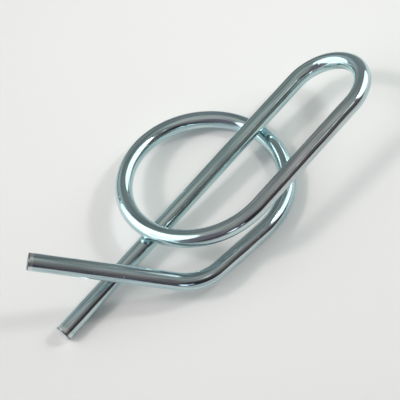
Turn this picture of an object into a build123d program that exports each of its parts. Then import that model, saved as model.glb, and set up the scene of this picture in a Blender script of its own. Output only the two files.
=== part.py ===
from build123d import *
from math import atan, cos, radians, sin, tan
import os

os.makedirs("parts", exist_ok=True)

# Sizes in millimetres and degrees. Z = 0 is the table that the clip lies on.
wire_d = 3.2
ring_r = 14.8  # to the middle of the wire
tip_x = 38.0  # from the middle of the ring to the tip of the leg
bow_x = 25.4  # from the middle of the ring to the start of the bow
loop_gap = 0.7  # between the ring and the leg where they cross
touch_turn = 288.3  # where the ring lies on the table, from where it starts
extra_turn = 2.2  # how far the ring runs past a full turn
ring_rise = 5.3  # slope of the wire where it leaves the ring
run_length = 11.2
bend_r = 9.9
bend_turn = 47.3
arm_slope = 21.3
arm_length = 26.2
end_break = 0.2  # edge left by the shear

wire_r = wire_d / 2
cross_z = wire_d + loop_gap

# The leg rises from its tip until it clears the far side of the ring, which lies on the table.
slope = atan(cross_z / (tip_x + ring_r))

# The ring starts above the leg, crosses over it a quarter turn on, and falls to the table.
over_z = tan(slope) * (tip_x - ring_r) + cross_z
quarter_turns = [0, 45, 90]
falling_turns = [90 + (touch_turn - 90) * step / 4 for step in range(1, 5)]
last_turn = 360 + extra_turn
rising_turns = [(touch_turn + last_turn) / 2, last_turn]
turns = quarter_turns + falling_turns + rising_turns
fall = over_z / (6 * ring_r * tan(radians(touch_turn - 90) / 8))
rise = sin(radians(ring_rise))
climbs = [-sin(slope), -fall, -fall, -fall, -fall, -fall / 2, 0, rise / 2, rise]

# The bow leans up by as much as the ring falls, so the tip and the ring both touch the table.
ring_start_z = wire_r + over_z + ring_r * tan(radians(45) / 2) * (sin(slope) + 3 * fall)
leg_z = wire_r * cos(slope) + tip_x * tan(slope)
bow_lean = atan((ring_start_z - leg_z) * cos(slope) / ring_r)
bow_r = ring_r / (2 * cos(bow_lean))

# The Z axis passes through the middle of the whole length.
ring_x = (tip_x - bow_x - bow_r - wire_r) / 2

leg_line = Vector(cos(slope), 0, sin(slope))
leg_up = Vector(-sin(slope), 0, cos(slope))
bow_across = leg_up * sin(bow_lean) - Vector(0, cos(bow_lean), 0)

with BuildPart() as clip_wire:
    with BuildLine() as centreline:
        tip = Vector(ring_x - tip_x, 0, wire_r * cos(slope))
        leg = Line(tip, tip + leg_line * ((tip_x + bow_x) / cos(slope)))
        bow = TangentArc(leg @ 1, leg @ 1 + bow_across * (2 * bow_r), tangent=leg % 1)
        back_length = ((bow @ 1).X - ring_x) / cos(slope)
        second_leg = Line(bow @ 1, bow @ 1 - leg_line * back_length)

        stretch = second_leg
        height = (second_leg @ 1).Z
        for step in range(1, len(turns)):
            half_turn = radians(turns[step] - turns[step - 1]) / 2
            height += ring_r * tan(half_turn) * (climbs[step - 1] + climbs[step])
            here = radians(turns[step])
            spot = Vector(ring_x - ring_r * sin(here), -ring_r * cos(here), height)
            stretch = TangentArc(stretch @ 1, spot, tangent=stretch % 1)

        run = Line(stretch @ 1, stretch @ 1 + (stretch % 1) * run_length)
        run_line = run % 1
        heading = Vector(run_line.X, run_line.Y, 0).rotate(Axis.Z, -bend_turn).normalized()
        arm_line = heading * cos(radians(arm_slope)) + Vector(0, 0, sin(radians(arm_slope)))
        bend_reach = bend_r * tan(radians(run_line.get_angle(arm_line)) / 2)
        bend = TangentArc(run @ 1, run @ 1 + (run_line + arm_line) * bend_reach, tangent=run_line)
        arm = Line(bend @ 1, bend @ 1 + (bend % 1) * arm_length)
    with BuildSketch(Plane(origin=leg @ 0, z_dir=leg % 0)):
        Circle(wire_r)
    sweep()
    cut_ends = clip_wire.faces().filter_by(GeomType.PLANE)
    chamfer(cut_ends.edges(), end_break)

clip_wire.part.label = "clip_wire"
export_step(clip_wire.part, "parts/clip_wire.step")
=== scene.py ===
from math import atan, cos, pi, radians, sin, tan

import bpy
from mathutils import Matrix, Vector


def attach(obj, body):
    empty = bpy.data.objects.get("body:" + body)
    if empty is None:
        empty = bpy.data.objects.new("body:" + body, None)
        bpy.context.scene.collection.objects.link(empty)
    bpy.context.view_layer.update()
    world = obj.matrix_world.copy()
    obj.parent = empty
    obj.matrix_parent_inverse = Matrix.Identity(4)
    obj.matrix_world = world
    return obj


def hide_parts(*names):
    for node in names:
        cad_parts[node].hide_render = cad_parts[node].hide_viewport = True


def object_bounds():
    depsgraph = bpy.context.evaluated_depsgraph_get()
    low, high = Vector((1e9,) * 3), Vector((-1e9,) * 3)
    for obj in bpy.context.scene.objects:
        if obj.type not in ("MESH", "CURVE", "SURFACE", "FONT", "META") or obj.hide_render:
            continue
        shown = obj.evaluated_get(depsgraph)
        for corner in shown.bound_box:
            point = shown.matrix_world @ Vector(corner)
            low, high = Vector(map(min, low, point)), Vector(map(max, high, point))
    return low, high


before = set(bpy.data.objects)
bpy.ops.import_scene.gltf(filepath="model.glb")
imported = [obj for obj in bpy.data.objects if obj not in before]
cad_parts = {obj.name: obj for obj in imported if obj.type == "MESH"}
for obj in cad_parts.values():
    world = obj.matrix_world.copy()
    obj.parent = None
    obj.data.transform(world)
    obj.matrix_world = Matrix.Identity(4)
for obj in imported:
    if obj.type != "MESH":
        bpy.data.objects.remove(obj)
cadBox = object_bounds()

mm = 0.001


def putNode(tree, kind, settings=None, values=None):
    node = tree.nodes.new(kind)
    for name, value in (settings or {}).items():
        setattr(node, name, value)
    for key, value in (values or {}).items():
        if isinstance(value, bpy.types.NodeSocket):
            tree.links.new(value, node.inputs[key])
        else:
            node.inputs[key].default_value = value
    return node


def calc(tree, operation, *values):
    node = putNode(tree, "ShaderNodeMath", {"operation": operation}, dict(enumerate(values)))
    return node.outputs[0]


def vectorCalc(tree, operation, *values, output=0):
    node = putNode(tree, "ShaderNodeVectorMath", {"operation": operation}, dict(enumerate(values)))
    return node.outputs[output]


def ease(tree, value, low, high, toLow=0.0, toHigh=1.0, kind="SMOOTHSTEP"):
    node = putNode(tree, "ShaderNodeMapRange", {"interpolation_type": kind}, {
        "Value": value, "From Min": low, "From Max": high, "To Min": toLow, "To Max": toHigh})
    return node.outputs["Result"]


def blendColour(tree, share, first, second):
    node = putNode(tree, "ShaderNodeMix", {"data_type": "RGBA"}, {"Factor": share, 6: first, 7: second})
    return node.outputs[2]


def rampColour(tree, value, stops):
    node = putNode(tree, "ShaderNodeValToRGB", values={"Fac": value})
    ramp = node.color_ramp
    while len(ramp.elements) < len(stops):
        ramp.elements.new(1.0)
    for element, (place, colour) in zip(ramp.elements, stops):
        element.position = place
        element.color = (*colour, 1)
    return node.outputs["Color"]


# pace: how often a pattern changes in a millimetre, across the wire in two directions and along it
def layNoise(tree, place, pattern):
    spread = vectorCalc(tree, "MULTIPLY", place, pattern["pace"])
    node = putNode(tree, "ShaderNodeTexNoise", values={
        "Vector": spread, "Scale": 1.0, "Detail": pattern["detail"], "Roughness": pattern["roughness"],
        "Distortion": pattern.get("distortion", 0.0)})
    return node.outputs["Fac"]


def newTree(name, kind, inputs, outputs):
    tree = bpy.data.node_groups.new(name, kind)
    for direction, sockets in (("INPUT", inputs), ("OUTPUT", outputs)):
        for label, kindName, start in sockets:
            socket = tree.interface.new_socket(label, in_out=direction, socket_type=kindName)
            if start is not None:
                socket.default_value = start
    return tree, tree.nodes.new("NodeGroupInput"), tree.nodes.new("NodeGroupOutput")


# the wire: one length, bent along straight runs and tangent arcs, in millimetres and degrees
wireSizes = {
    "thickness": 3.2,
    "ringRadius": 14.8,  # to the middle of the wire
    "tipReach": 38.0,  # from the middle of the ring to the tip
    "bowReach": 25.4,  # from the middle of the ring to the start of the bow
    "loopGap": 0.7,  # between the ring and the leg where they cross
    "touchTurn": 288.3,  # where the ring lies on the table, from where it starts
    "ringTurn": 362.2,
    "ringRise": 5.3,  # slope of the wire where it leaves the ring
    "runLength": 11.2,
    "bendRadius": 9.9,
    "bendTurn": 47.3,
    "armSlope": 21.3,
    "armLength": 26.2,
    "edgeBreak": 0.2,  # edge left by the shear
    "breakSections": (0.12, 0.3, 0.6, 1),  # where the mesh cuts that edge, as shares of it
    "stretchStep": 0.3,  # distance between the other sections of the mesh
    "sides": 64,
    "endArea": 1.0,  # in square millimetres: only the two end faces are larger
}


def layStraight(path, heading, length):
    start = path[-1]
    count = max(1, round(length / wireSizes["stretchStep"]))
    path += [start + heading * (length * part / count) for part in range(1, count + 1)]
    return heading


def layArc(path, heading, target):
    start = path[-1]
    chord = target - start
    halfTurn = heading.angle(chord)
    inward = (chord - heading * chord.dot(heading)).normalized()
    radius = chord.length / (2 * sin(halfTurn))
    count = max(3, round(2 * halfTurn * radius / wireSizes["stretchStep"]))
    for part in range(1, count + 1):
        turn = 2 * halfTurn * part / count
        path.append(start + heading * (radius * sin(turn)) + inward * (radius * (1 - cos(turn))))
    return heading * cos(2 * halfTurn) + inward * sin(2 * halfTurn)


def bendWire(size):
    wireRadius = size["thickness"] / 2
    ringRadius = size["ringRadius"]

    # the leg rises from its tip until it clears the far side of the ring
    crossHeight = size["thickness"] + size["loopGap"]
    slope = atan(crossHeight / (size["tipReach"] + ringRadius))

    # the ring crosses over the leg a quarter turn on, falls to the table and rises again
    overHeight = tan(slope) * (size["tipReach"] - ringRadius) + crossHeight
    fallTurn = (size["touchTurn"] - 90) / 4
    turns = [0, 45, 90] + [90 + fallTurn * part for part in (1, 2, 3, 4)]
    turns += [(size["touchTurn"] + size["ringTurn"]) / 2, size["ringTurn"]]
    fall = overHeight / (6 * ringRadius * tan(radians(fallTurn / 2)))
    rise = sin(radians(size["ringRise"]))
    climbs = [-sin(slope), -fall, -fall, -fall, -fall, -fall / 2, 0, rise / 2, rise]

    # the bow leans up by as much as the ring falls
    startHeight = wireRadius + overHeight + ringRadius * tan(radians(45) / 2) * (sin(slope) + 3 * fall)
    legHeight = wireRadius * cos(slope) + size["tipReach"] * tan(slope)
    lean = atan((startHeight - legHeight) * cos(slope) / ringRadius)
    bowRadius = ringRadius / (2 * cos(lean))
    ringPlace = (size["tipReach"] - size["bowReach"] - bowRadius - wireRadius) / 2

    legLine = Vector((cos(slope), 0, sin(slope)))
    legLength = (size["tipReach"] + size["bowReach"]) / cos(slope)
    bowAcross = Vector((-sin(slope), 0, cos(slope))) * sin(lean) - Vector((0, cos(lean), 0))
    path = [Vector((ringPlace - size["tipReach"], 0, wireRadius * cos(slope)))]
    breakSteps = [size["edgeBreak"] * share for share in size["breakSections"]]
    path += [path[0] + legLine * step for step in breakSteps]
    heading = layStraight(path, legLine, legLength - size["edgeBreak"])
    layArc(path, heading, path[-1] + bowAcross * (2 * bowRadius))
    heading = layStraight(path, -legLine, (path[-1].x - ringPlace) / cos(slope))

    height = path[-1].z
    for step in range(1, len(turns)):
        halfTurn = radians(turns[step] - turns[step - 1]) / 2
        height += ringRadius * tan(halfTurn) * (climbs[step - 1] + climbs[step])
        here = radians(turns[step])
        spot = Vector((ringPlace - ringRadius * sin(here), -ringRadius * cos(here), height))
        heading = layArc(path, heading, spot)

    heading = layStraight(path, heading, size["runLength"])
    flat = Vector((heading.x, heading.y, 0)).normalized()
    flat.rotate(Matrix.Rotation(-radians(size["bendTurn"]), 3, "Z"))
    armSlope = radians(size["armSlope"])
    armLine = flat * cos(armSlope) + Vector((0, 0, sin(armSlope)))
    reach = size["bendRadius"] * tan(heading.angle(armLine) / 2)
    layArc(path, heading, path[-1] + (heading + armLine) * reach)
    layStraight(path, armLine, size["armLength"] - size["edgeBreak"])
    corner = path[-1]
    lastSteps = [size["edgeBreak"] - step for step in reversed([0] + breakSteps[:-1])]
    path += [corner + armLine * step for step in lastSteps]
    return path


def makeSweepTree():
    tree, given, made = newTree("wireSweep", "GeometryNodeTree", [
        ("Centre Line", "NodeSocketGeometry", None),
        ("Wire Radius", "NodeSocketFloat", 0.0016),
        ("Edge Break", "NodeSocketFloat", 0.0002),
        ("Sides", "NodeSocketInt", 64),
        ("End Area", "NodeSocketFloat", 0.000001),
        ("Wire Finish", "NodeSocketMaterial", None),
        ("End Finish", "NodeSocketMaterial", None),
    ], [("Wire", "NodeSocketGeometry", None)])
    tree.is_modifier = True

    # the wire narrows over the broken edge at both ends, in a quarter round
    line = putNode(tree, "GeometryNodeMeshToCurve", values={"Mesh": given.outputs["Centre Line"]})
    along = putNode(tree, "GeometryNodeSplineParameter").outputs["Length"]
    total = putNode(tree, "GeometryNodeSplineLength").outputs["Length"]
    fromEnd = calc(tree, "MINIMUM", along, calc(tree, "SUBTRACT", total, along))
    inBreak = calc(tree, "DIVIDE", fromEnd, given.outputs["Edge Break"])
    toEdge = ease(tree, inBreak, 0, 1, 1, 0, "LINEAR")
    kept = calc(tree, "SQRT", calc(tree, "SUBTRACT", 1.0, calc(tree, "MULTIPLY", toEdge, toEdge)))
    lost = calc(tree, "MULTIPLY", calc(tree, "SUBTRACT", 1.0, kept), given.outputs["Edge Break"])
    scale = calc(tree, "SUBTRACT", 1.0, calc(tree, "DIVIDE", lost, given.outputs["Wire Radius"]))

    lineMarked = putNode(tree, "GeometryNodeStoreNamedAttribute", {"data_type": "FLOAT"}, {
        "Geometry": line.outputs[0], "Name": "along", "Value": along})
    section = putNode(tree, "GeometryNodeCurvePrimitiveCircle", values={
        "Resolution": given.outputs["Sides"], "Radius": given.outputs["Wire Radius"]})
    place = putNode(tree, "GeometryNodeInputPosition").outputs[0]
    sectionMarked = putNode(tree, "GeometryNodeStoreNamedAttribute", {"data_type": "FLOAT_VECTOR"}, {
        "Geometry": section.outputs[0], "Name": "section", "Value": place})
    sweep = putNode(tree, "GeometryNodeCurveToMesh", values={
        "Curve": lineMarked.outputs[0], "Profile Curve": sectionMarked.outputs[0],
        "Scale": scale, "Fill Caps": True})

    # every point remembers where it was on the straight wire, in millimetres, before it was bent
    readAlong = putNode(tree, "GeometryNodeInputNamedAttribute", {"data_type": "FLOAT"}, {
        "Name": "along"})
    readSection = putNode(tree, "GeometryNodeInputNamedAttribute", {"data_type": "FLOAT_VECTOR"}, {
        "Name": "section"})
    parts = putNode(tree, "ShaderNodeSeparateXYZ", values={0: readSection.outputs["Attribute"]})
    straight = putNode(tree, "ShaderNodeCombineXYZ", values={
        "X": parts.outputs["X"], "Y": parts.outputs["Y"], "Z": readAlong.outputs["Attribute"]})
    inMm = vectorCalc(tree, "MULTIPLY", straight.outputs[0], (1 / mm, 1 / mm, 1 / mm))
    cleaned = putNode(tree, "GeometryNodeStoreNamedAttribute", {"data_type": "FLOAT_VECTOR"}, {
        "Geometry": sweep.outputs[0], "Name": "straightWire", "Value": inMm})
    for name in ("along", "section"):
        cleaned = putNode(tree, "GeometryNodeRemoveAttribute", values={
            "Geometry": cleaned.outputs[0], "Name": name})

    area = putNode(tree, "GeometryNodeInputMeshFaceArea").outputs[0]
    isEnd = putNode(tree, "FunctionNodeCompare", {"data_type": "FLOAT", "operation": "GREATER_THAN"}, {
        "A": area, "B": given.outputs["End Area"]}).outputs[0]
    smooth = putNode(tree, "GeometryNodeSetShadeSmooth", values={
        "Geometry": cleaned.outputs[0], "Shade Smooth": True})
    flatEnds = putNode(tree, "GeometryNodeSetShadeSmooth", values={
        "Geometry": smooth.outputs[0], "Selection": isEnd, "Shade Smooth": False})
    realized = putNode(tree, "GeometryNodeRealizeInstances", values={"Geometry": flatEnds.outputs[0]})
    wireFinish = putNode(tree, "GeometryNodeSetMaterial", values={
        "Geometry": realized.outputs[0], "Material": given.outputs["Wire Finish"]})
    endFinish = putNode(tree, "GeometryNodeSetMaterial", values={
        "Geometry": wireFinish.outputs[0], "Selection": isEnd, "Material": given.outputs["End Finish"]})
    tree.links.new(endFinish.outputs[0], made.inputs["Wire"])
    return tree


def makeWire(name, finish, endFinish):
    path = [point * mm for point in bendWire(wireSizes)]
    mesh = bpy.data.meshes.new(name)
    mesh.from_pydata(path, [(i, i + 1) for i in range(len(path) - 1)], [])
    piece = bpy.data.objects.new(name, mesh)
    bpy.context.scene.collection.objects.link(piece)

    sweep = piece.modifiers.new("sweep", "NODES")
    sweep.node_group = makeSweepTree()
    sockets = [item for item in sweep.node_group.interface.items_tree if item.in_out == "INPUT"]
    identifiers = {socket.name: socket.identifier for socket in sockets}
    sweep[identifiers["Wire Radius"]] = wireSizes["thickness"] / 2 * mm
    sweep[identifiers["Edge Break"]] = wireSizes["edgeBreak"] * mm
    sweep[identifiers["Sides"]] = wireSizes["sides"]
    sweep[identifiers["End Area"]] = wireSizes["endArea"] * mm * mm
    sweep[identifiers["Wire Finish"]] = finish
    sweep[identifiers["End Finish"]] = endFinish
    shown = bpy.context.evaluated_depsgraph_get()
    swept = bpy.data.meshes.new_from_object(
        piece.evaluated_get(shown), preserve_all_data_layers=True, depsgraph=shown)
    piece.modifiers.remove(sweep)
    piece.data = swept
    swept.name = name
    print("wire swept:", len(path), "sections,", len(swept.polygons), "faces")
    return piece


# fine lines left by the drawing die, and broad streaks of thicker and thinner film between them
# paces here are shares of the finish's own fineness and stretch
drawLook = {
    "fine": {"pace": (1, 1, 1), "detail": 3.0, "roughness": 0.6},
    "broad": {"pace": (0.3, 0.3, 0.4), "detail": 2.0, "roughness": 0.5},
    "streakSpread": (0.3, 0.7),
}


def makeDrawLines():
    tree, given, made = newTree("drawLines", "ShaderNodeTree", [
        ("Straight Wire", "NodeSocketVector", None),
        ("Fineness", "NodeSocketFloat", 7.0),
        ("Stretch", "NodeSocketFloat", 0.25),
    ], [("Height", "NodeSocketFloat", None), ("Streaks", "NodeSocketFloat", None)])
    pace = putNode(tree, "ShaderNodeCombineXYZ", values={
        "X": given.outputs["Fineness"], "Y": given.outputs["Fineness"], "Z": given.outputs["Stretch"]})
    place = vectorCalc(tree, "MULTIPLY", given.outputs["Straight Wire"], pace.outputs[0])
    tree.links.new(layNoise(tree, place, drawLook["fine"]), made.inputs["Height"])
    streaks = ease(tree, layNoise(tree, place, drawLook["broad"]), *drawLook["streakSpread"])
    tree.links.new(streaks, made.inputs["Streaks"])
    return tree


# small knocks: place across the straight wire, distance from the tip, radius and depth, all in mm
knocks = {
    "ringKnock": ((-1.45, -0.68, 145.1), 0.62, 0.026),
    "ringKnockBelow": ((-1.20, -1.06, 144.0), 0.35, 0.008),
    "bowKnock": ((-1.60, -0.08, 78.3), 0.50, 0.040),
    "bowInnerKnock": ((0.61, -1.48, 69.4), 0.40, 0.018),
    "legKnock": ((1.10, -1.15, 31.0), 0.30, 0.012),
    "runKnock": ((-0.70, -1.44, 213.0), 0.34, 0.014),
    "armKnock": ((-1.50, -0.55, 236.5), 0.28, 0.012),
    "armEndKnock": ((-0.95, 1.28, 252.9), 0.55, 0.060),
    "tipKnock": ((-1.25, -1.00, 0.5), 0.40, 0.030),
    "undersideKnock": ((0.90, 1.32, 98.0), 0.45, 0.025),
    "backKnock": ((1.52, 0.50, 187.0), 0.40, 0.020),
}
knockFloor = 0.15  # share of a knock's radius that is flat


def makeKnocks():
    tree, given, made = newTree("handlingKnocks", "ShaderNodeTree", [
        ("Straight Wire", "NodeSocketVector", None),
    ], [("Depth", "NodeSocketFloat", None)])
    depth = 0.0
    for place, radius, deep in knocks.values():
        away = vectorCalc(tree, "DISTANCE", given.outputs["Straight Wire"], place, output=1)
        depth = calc(tree, "ADD", depth, ease(tree, away, knockFloor * radius, radius, deep, 0))
    tree.links.new(depth, made.inputs["Depth"])
    return tree


# scratches lie along the wire in patches, and the grain is the crystals of the plating
scratchLook = {
    "lines": {"pace": (5.0, 5.0, 0.35), "detail": 2.0, "roughness": 0.5, "distortion": 0.6},
    "lineEdge": (0.60, 0.68),
    "patches": {"pace": (0.4, 0.4, 0.15), "detail": 1.0, "roughness": 0.5},
    "patchEdge": (0.45, 0.65),
    "grain": {"pace": (3.0, 3.0, 1.1), "detail": 4.0, "roughness": 0.62},
}


def makeScratches():
    tree, given, made = newTree("fineScratches", "ShaderNodeTree", [
        ("Straight Wire", "NodeSocketVector", None),
        ("Amount", "NodeSocketFloat", 0.5),
    ], [("Scratches", "NodeSocketFloat", None), ("Grain", "NodeSocketFloat", None)])
    straight = given.outputs["Straight Wire"]
    lines = ease(tree, layNoise(tree, straight, scratchLook["lines"]), *scratchLook["lineEdge"])
    patches = ease(tree, layNoise(tree, straight, scratchLook["patches"]), *scratchLook["patchEdge"])
    amount = calc(tree, "MULTIPLY", patches, given.outputs["Amount"])
    tree.links.new(calc(tree, "MULTIPLY", lines, amount), made.inputs["Scratches"])
    tree.links.new(layNoise(tree, straight, scratchLook["grain"]), made.inputs["Grain"])
    return tree


def startMetal(name):
    material = bpy.data.materials.new(name)
    material.use_nodes = True
    material.node_tree.nodes.clear()
    straight = putNode(material.node_tree, "ShaderNodeAttribute", {"attribute_name": "straightWire"})
    return material, material.node_tree, straight.outputs["Vector"]


def closeMetal(tree, colour, roughness, height, look):
    bump = putNode(tree, "ShaderNodeBump", values={"Strength": 1.0, "Distance": mm, "Height": height})
    metal = putNode(tree, "ShaderNodeBsdfPrincipled", values={
        "Base Color": colour, "Metallic": 1.0, "Roughness": roughness,
        "Specular Tint": look["edgeTint"], "Normal": bump.outputs[0]})
    out = putNode(tree, "ShaderNodeOutputMaterial")
    tree.links.new(metal.outputs[0], out.inputs["Surface"])


# bright zinc: a clear mirror with draw lines along it and a thin film whose tint drifts from end to end
zincLook = {
    "wireLength": 253.5,
    "tints": [  # distance from the tip in mm, colour of the film
        (0, (0.50, 0.63, 0.665)),
        (14, (0.50, 0.635, 0.66)),
        (30, (0.466, 0.647, 0.648)),
        (60, (0.477, 0.641, 0.648)),
        (76, (0.488, 0.657, 0.68)),
        (96, (0.566, 0.615, 0.626)),
        (112, (0.555, 0.609, 0.632)),
        (130, (0.49, 0.66, 0.69)),
        (160, (0.52, 0.69, 0.72)),
        (176, (0.525, 0.665, 0.73)),
        (196, (0.46, 0.65, 0.69)),
        (212, (0.533, 0.615, 0.637)),
        (228, (0.485, 0.625, 0.67)),
        (253.5, (0.49, 0.62, 0.655)),
    ],
    "clouds": {"pace": (0.5, 0.5, 0.12), "detail": 3.0, "roughness": 0.55},
    "tintDrift": 12.0,  # how far the clouds shift the tint along the wire, in mm
    "thinFilm": (0.66, 0.78, 0.77, 1),
    "thickFilm": (0.30, 0.40, 0.42, 1),
    "filmShare": 0.6,
    "evenStreak": 0.45,  # streak that is neither thin nor thick
    "edgeTint": (0.95, 1.0, 1.0, 1),
    "smooth": 0.07,  # roughness where the film is thick
    "drawn": 0.13,  # and where it is thin
    "fineness": 7.0,  # draw lines in a millimetre, across the wire
    "stretch": 0.25,  # and along it
    "lineDepth": 0.0034,  # heights in mm
    "streakDepth": 0.0034,
    "grainDepth": 0.0016,
    "grooveDepth": -0.005,
    "scratchDepth": -0.004,
    "scratchAmount": 0.8,
    "waves": {"pace": (0.35, 0.35, 0.12), "detail": 1.0, "roughness": 0.4},
    "waveDepth": 0.012,
    "worn": (0.72, 0.79, 0.79, 1),  # thin zinc where the ends rub
    "wornEdge": (0.8, 1.1),  # where it fades out, in mm from the end
    "wornShare": 0.8,
    "wornRoughness": 0.26,
    "groove": (1.0, 1.15, 1.35),  # start, middle and end of the fine groove behind the worn stretch
    "burr": (0.10, 0.11, 0.12, 1),  # dark line where the shear broke through
    "burrEdge": (0.12, 0.32),
    "burrShare": 0.9,
    "endWander": 0.6,  # how unevenly all these run round the wire, in mm
}


def makeZinc(name, look, lines, dents, scratches):
    material, tree, straight = startMetal(name)
    drawn = putNode(tree, "ShaderNodeGroup", {"node_tree": lines}, {
        "Straight Wire": straight, "Fineness": look["fineness"], "Stretch": look["stretch"]})
    knocked = putNode(tree, "ShaderNodeGroup", {"node_tree": dents}, {"Straight Wire": straight})
    scored = putNode(tree, "ShaderNodeGroup", {"node_tree": scratches}, {
        "Straight Wire": straight, "Amount": look["scratchAmount"]})
    streaks, grain = drawn.outputs["Streaks"], scored.outputs["Grain"]
    length = look["wireLength"]

    along = putNode(tree, "ShaderNodeSeparateXYZ", values={0: straight}).outputs["Z"]
    centred = calc(tree, "SUBTRACT", along, look["tintDrift"] / 2)
    clouds = layNoise(tree, straight, look["clouds"])
    drift = calc(tree, "MULTIPLY_ADD", clouds, look["tintDrift"], centred)
    stops = [(place / length, tint) for place, tint in look["tints"]]
    colour = rampColour(tree, calc(tree, "DIVIDE", drift, length), stops)
    thin = ease(tree, streaks, look["evenStreak"], 1.0, 0, look["filmShare"])
    thick = ease(tree, streaks, 0.0, look["evenStreak"], look["filmShare"], 0)
    colour = blendColour(tree, thin, colour, look["thinFilm"])
    colour = blendColour(tree, thick, colour, look["thickFilm"])

    # the last millimetre at both ends is rubbed dull, with a dark burr at the very edge
    fromEnd = calc(tree, "MINIMUM", along, calc(tree, "SUBTRACT", length, along))
    settled = calc(tree, "SUBTRACT", fromEnd, look["endWander"] / 2)
    uneven = calc(tree, "MULTIPLY_ADD", grain, look["endWander"], settled)
    worn = ease(tree, uneven, *look["wornEdge"], look["wornShare"], 0)
    burr = ease(tree, uneven, *look["burrEdge"], look["burrShare"], 0)
    grooveStart, grooveMiddle, grooveEnd = look["groove"]
    groove = calc(tree, "MULTIPLY", ease(tree, uneven, grooveStart, grooveMiddle),
                  ease(tree, uneven, grooveMiddle, grooveEnd, 1, 0))
    colour = blendColour(tree, worn, colour, look["worn"])
    colour = blendColour(tree, burr, colour, look["burr"])

    marked = calc(tree, "MAXIMUM", worn, scored.outputs["Scratches"])
    dulled = calc(tree, "MULTIPLY", marked, look["wornRoughness"] - look["drawn"])
    polish = ease(tree, streaks, 0, 1, look["smooth"], look["drawn"], "LINEAR")
    roughness = calc(tree, "ADD", polish, dulled)

    height = calc(tree, "MULTIPLY", layNoise(tree, straight, look["waves"]), look["waveDepth"])
    layers = {
        "lineDepth": drawn.outputs["Height"],
        "streakDepth": streaks,
        "grainDepth": grain,
        "grooveDepth": groove,
        "scratchDepth": scored.outputs["Scratches"],
    }
    for depthName, layer in layers.items():
        height = calc(tree, "MULTIPLY_ADD", layer, look[depthName], height)
    height = calc(tree, "SUBTRACT", height, knocked.outputs["Depth"])
    closeMetal(tree, colour, roughness, height, look)
    return material


# the sheared ends: the tip's face is cut nearly clean, the arm's is torn grey metal
shearLook = {
    "cut": (0.86, 0.89, 0.88, 1),
    "torn": (0.20, 0.22, 0.22, 1),
    "edgeTint": (0.9, 0.95, 0.95, 1),
    "tipBite": 1.9,  # the face is clean up to here and torn above, in mm from its middle
    "armBite": -3.0,
    "between": (50, 200),  # distances from the tip between which one gives way to the other
    "tears": {"pace": (2.2, 2.2, 2.2), "detail": 5.0, "roughness": 0.65},
    "tearWander": 0.9,  # in mm
    "tearFade": 0.5,
    "tearDepth": 0.05,
    "grainShare": 0.25,
    "scratchAmount": 1.0,
    "cutRoughness": 0.22,
    "tornRoughness": 0.48,
}


def makeShearedEnd(name, look, scratches):
    material, tree, straight = startMetal(name)
    parts = putNode(tree, "ShaderNodeSeparateXYZ", values={0: straight})
    scored = putNode(tree, "ShaderNodeGroup", {"node_tree": scratches}, {
        "Straight Wire": straight, "Amount": look["scratchAmount"]})
    tears = layNoise(tree, straight, look["tears"])
    bite = ease(tree, parts.outputs["Z"], *look["between"], look["tipBite"], look["armBite"], "LINEAR")
    uneven = calc(tree, "MULTIPLY_ADD", tears, look["tearWander"], parts.outputs["Y"])
    torn = ease(tree, calc(tree, "SUBTRACT", uneven, bite), 0.0, look["tearFade"])
    grain = calc(tree, "MULTIPLY", scored.outputs["Grain"], look["grainShare"])
    colour = blendColour(tree, torn, look["cut"], look["torn"])
    colour = blendColour(tree, grain, colour, look["torn"])
    roughness = ease(tree, torn, 0, 1, look["cutRoughness"], look["tornRoughness"], "LINEAR")
    height = calc(tree, "MULTIPLY", calc(tree, "MULTIPLY", tears, torn), look["tearDepth"])
    closeMetal(tree, colour, roughness, height, look)
    return material


fineScratches = makeScratches()
brightZinc = makeZinc("brightZinc", zincLook, makeDrawLines(), makeKnocks(), fineScratches)
shearedEnd = makeShearedEnd("shearedEnd", shearLook, fineScratches)
clipWire = makeWire("clipWire", brightZinc, shearedEnd)
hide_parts("clip_wire")
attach(clipWire, "root")

# the table: a plain sheet of white paper with a painted pool of light, its colour brighter where the
# lamps meet and paler away from there; sizes in metres
tableSet = {
    "radius": 0.6,
    "sides": 96,
    "bright": (0.83, 0.86, 0.837, 1),
    "pale": (0.682, 0.702, 0.696, 1),
    "paintedPoolCentre": (0.040, 0.025, 0),
    "paintedPoolReach": 0.15,
    "paintedDarkReflection": (0.16, 0.17, 0.15, 1),  # painted dark reflection: a darker paper tone that only the wire's mirror sees, while the camera sees the plain sheet
    "paintedReflectionParts": {  # direction, how squarely it is met there, and how far out it begins
        "behindRing": ((0.545, 0.839, 0), (0.79, 0.93), (0.017, 0.029)),
        "besideBow": ((0.83, 0.56, 0), (0.86, 0.95), (0.055, 0.085)),
    },
    "roughness": 0.6,
    "shine": 0.5,
    "drop": 0.00001,  # how far it lies under the wire
}


def colourPaper(tree, place):
    # painted light: the paper's colour fades from bright to pale with distance from where the lamps
    # meet
    distance = vectorCalc(tree, "DISTANCE", place, tableSet["paintedPoolCentre"], output=1)
    paintedFalloff = ease(tree, distance, 0, tableSet["paintedPoolReach"])
    paper = blendColour(tree, paintedFalloff, tableSet["bright"], tableSet["pale"])
    # painted dark reflection: past these lines the paper turns dark for mirror rays only, darkening the
    # wire's rims that face them
    outward = vectorCalc(tree, "NORMALIZE", place)
    paintedReflectionShare = 0.0
    for direction, squareness, reach in tableSet["paintedReflectionParts"].values():
        squarely = vectorCalc(tree, "DOT_PRODUCT", outward, direction, output=1)
        farOut = vectorCalc(tree, "DOT_PRODUCT", place, direction, output=1)
        beyond = calc(tree, "MULTIPLY", ease(tree, squarely, *squareness), ease(tree, farOut, *reach))
        paintedReflectionShare = calc(tree, "MAXIMUM", paintedReflectionShare, beyond)
    mirrored = putNode(tree, "ShaderNodeLightPath").outputs["Is Glossy Ray"]
    return blendColour(tree, calc(tree, "MULTIPLY", paintedReflectionShare, mirrored), paper, tableSet["paintedDarkReflection"])


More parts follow.
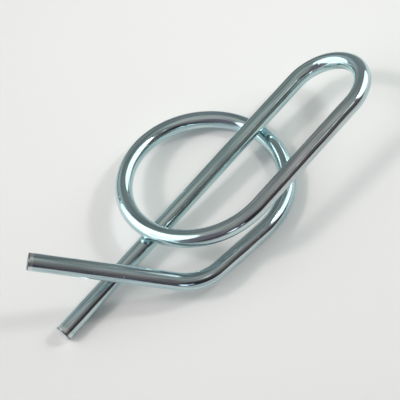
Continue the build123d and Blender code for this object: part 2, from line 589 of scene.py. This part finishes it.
def makeTable():
    turns = [radians(360 * i / tableSet["sides"]) for i in range(tableSet["sides"])]
    rim = [(tableSet["radius"] * cos(turn), tableSet["radius"] * sin(turn), 0) for turn in turns]
    mesh = bpy.data.meshes.new("paperSheet")
    mesh.from_pydata(rim, [], [tuple(range(tableSet["sides"]))])
    table = bpy.data.objects.new("paperSheet", mesh)
    bpy.context.scene.collection.objects.link(table)
    material = bpy.data.materials.new("whitePaper")
    material.use_nodes = True
    tree = material.node_tree
    shader = tree.nodes["Principled BSDF"]
    place = putNode(tree, "ShaderNodeTexCoord").outputs["Object"]
    tree.links.new(colourPaper(tree, place), shader.inputs["Base Color"])
    shader.inputs["Roughness"].default_value = tableSet["roughness"]
    shader.inputs["Specular IOR Level"].default_value = tableSet["shine"]
    mesh.materials.append(material)
    table.location.z = min(0, cadBox[0][2]) - tableSet["drop"]
    print("table laid at", round(table.location.z, 6))


makeTable()

# the room that the wire mirrors: pale ceiling, grey wall behind and dim side in front
# a wall's stops are the sine of the height above the table, and the colour there
roomSet = {
    "backWall": [
        (0.0, (0.301, 0.301, 0.315)),
        (0.39, (0.254, 0.263, 0.263)),
        (0.63, (0.221, 0.23, 0.226)),
        (0.81, (0.273, 0.282, 0.263)),
        (0.93, (0.451, 0.432, 0.414)),
        (1.0, (0.498, 0.461, 0.446)),
    ],
    "frontSide": [
        (0.0, (0.038, 0.032, 0.034)),
        (0.12, (0.052, 0.043, 0.047)),
        (0.26, (0.132, 0.108, 0.108)),
        (0.50, (0.179, 0.146, 0.141)),
        (0.71, (0.235, 0.197, 0.193)),
        (0.87, (0.376, 0.32, 0.31)),
        (1.0, (0.498, 0.461, 0.446)),
    ],
    "frontToward": -95,  # compass, in degrees
    "frontEdge": (0.2, 0.6),  # cosines between which the back wall gives way to it
    "below": (0.75, 0.75, 0.74, 1),
    "belowEdge": (-0.02, 0.0),
}
# patches of the room: compass, height, inner and outer radius in degrees, colour
roomPatches = {
    "paleWall": (94, 22, 6, 24, (0.48, 0.50, 0.52)),
    "duskyCurtain": (-160, 44, 10, 26, (0.20, 0.155, 0.19)),
    "shadyCorner": (-130, 20, 6, 20, (0.12, 0.095, 0.115)),
    "darkCupboard": (-96, 20, 8, 26, (0.050, 0.042, 0.045)),
    "ceilingGlow": (-30, 72, 4, 15, (0.52, 0.51, 0.50)),
    "darkShelf": (-93, 36, 2, 8, (0.030, 0.034, 0.038)),
    "deskLamp": (-65.5, 50, 1, 3.5, (1.8, 1.84, 1.8)),
    "sideLamp": (-106, 17, 1, 3.5, (2.2, 2.3, 2.5)),
    "farWindow": (-117, 12, 3, 7, (2.6, 2.7, 3.0)),
}


def toward(compass, height):
    turn, lift = radians(compass), radians(height)
    return Vector((cos(turn) * cos(lift), sin(turn) * cos(lift), sin(lift)))


def makeRoom():
    world = bpy.data.worlds.new("studioRoom")
    bpy.context.scene.world = world
    world.use_nodes = True
    tree = world.node_tree
    tree.nodes.clear()
    way = putNode(tree, "ShaderNodeTexCoord").outputs["Generated"]
    rise = putNode(tree, "ShaderNodeSeparateXYZ", values={0: way}).outputs["Z"]
    back = rampColour(tree, rise, roomSet["backWall"])
    front = rampColour(tree, rise, roomSet["frontSide"])
    frontWay = tuple(toward(roomSet["frontToward"], 0))
    facing = vectorCalc(tree, "DOT_PRODUCT", way, frontWay, output=1)
    colour = blendColour(tree, ease(tree, facing, *roomSet["frontEdge"]), back, front)
    for compass, height, inner, outer, tone in roomPatches.values():
        nearness = vectorCalc(tree, "DOT_PRODUCT", way, tuple(toward(compass, height)), output=1)
        share = ease(tree, nearness, cos(radians(outer)), cos(radians(inner)))
        colour = blendColour(tree, share, colour, (*tone, 1))
    colour = blendColour(tree, ease(tree, rise, *roomSet["belowEdge"]), roomSet["below"], colour)
    light = putNode(tree, "ShaderNodeBackground", values={"Color": colour, "Strength": 1.0})
    out = putNode(tree, "ShaderNodeOutputWorld")
    tree.links.new(light.outputs[0], out.inputs["Surface"])


# three big soft boxes with an even glow, and two small round lamps that cast the shadows
# compass, height and roll in degrees, sizes in metres, share: of the light on the table
lampSet = {
    "rightBox": {"compass": -17, "height": 28, "roll": -18, "away": 0.62,
                 "width": 0.75, "tall": 0.56, "glow": 1.58, "colour": (0.98, 1, 1)},
    "leftBox": {"compass": 138, "height": 28, "roll": 0, "away": 0.75,
                "width": 0.97, "tall": 1.24, "glow": 1.62, "colour": (0.98, 1, 1)},
    "lowBox": {"compass": 168, "height": 8, "roll": 0, "away": 0.76,
               "width": 0.50, "tall": 0.30, "glow": 0.9, "colour": (0.98, 1, 1)},
    "rightLamp": {"compass": -36.3, "height": 45.9, "roll": 0, "away": 0.40,
                  "across": 0.058, "share": 0.150, "colour": (1, 1, 1)},
    "leftLamp": {"compass": 141.2, "height": 49.8, "roll": 0, "away": 0.60,
                 "across": 0.105, "share": 0.185, "colour": (1, 0.85, 0.86)},
}


def makeLamp(name, about):
    lamp = bpy.data.lights.new(name, "AREA")
    lamp.color = about["colour"]
    way = toward(about["compass"], about["height"])
    if "across" in about:
        lamp.shape = "DISK"
        lamp.size = about["across"]
        area = pi / 4 * about["across"] ** 2
        glow = about["share"] * pi * about["away"] ** 2 / (area * way.z)
    else:
        lamp.shape = "ELLIPSE"
        lamp.size = about["width"]
        lamp.size_y = about["tall"]
        area = pi / 4 * about["width"] * about["tall"]
        glow = about["glow"]
    lamp.energy = glow * area * pi
    holder = bpy.data.objects.new(name, lamp)
    holder.location = way * about["away"]
    rolled = Matrix.Rotation(radians(about["roll"]), 3, "Z")
    holder.rotation_euler = (way.to_track_quat("Z", "Y").to_matrix() @ rolled).to_euler()
    holder.visible_camera = False
    bpy.context.scene.collection.objects.link(holder)


makeRoom()
for lampName, about in lampSet.items():
    makeLamp(lampName, about)
print("room and", len(lampSet), "lamps set")

# the camera looks down on the clip from beside the tip, in millimetres and degrees
cameraSet = {
    "place": (-86.10, -140.41, 249.68),
    "aim": (-2.339, -2.607, 5.0),
    "roll": -18.5,
    "lens": 146.24,
    "sensor": 36,
    "nearest": 10,
    "farthest": 10000,
}


def makeCamera():
    camera = bpy.data.cameras.new("viewCamera")
    camera.lens = cameraSet["lens"]
    camera.sensor_width = cameraSet["sensor"]
    camera.clip_start = cameraSet["nearest"] * mm
    camera.clip_end = cameraSet["farthest"] * mm
    holder = bpy.data.objects.new("viewCamera", camera)
    place = Vector(cameraSet["place"]) * mm
    aim = Vector(cameraSet["aim"]) * mm
    rolled = Matrix.Rotation(radians(cameraSet["roll"]), 3, "Z")
    turn = (aim - place).to_track_quat("-Z", "Y").to_matrix() @ rolled
    holder.matrix_world = Matrix.Translation(place) @ turn.to_4x4()
    bpy.context.scene.collection.objects.link(holder)
    bpy.context.scene.camera = holder
    print("camera axes", [[round(value, 4) for value in row] for row in turn.transposed()])


makeCamera()
bpy.context.scene.view_settings.view_transform = "Standard"
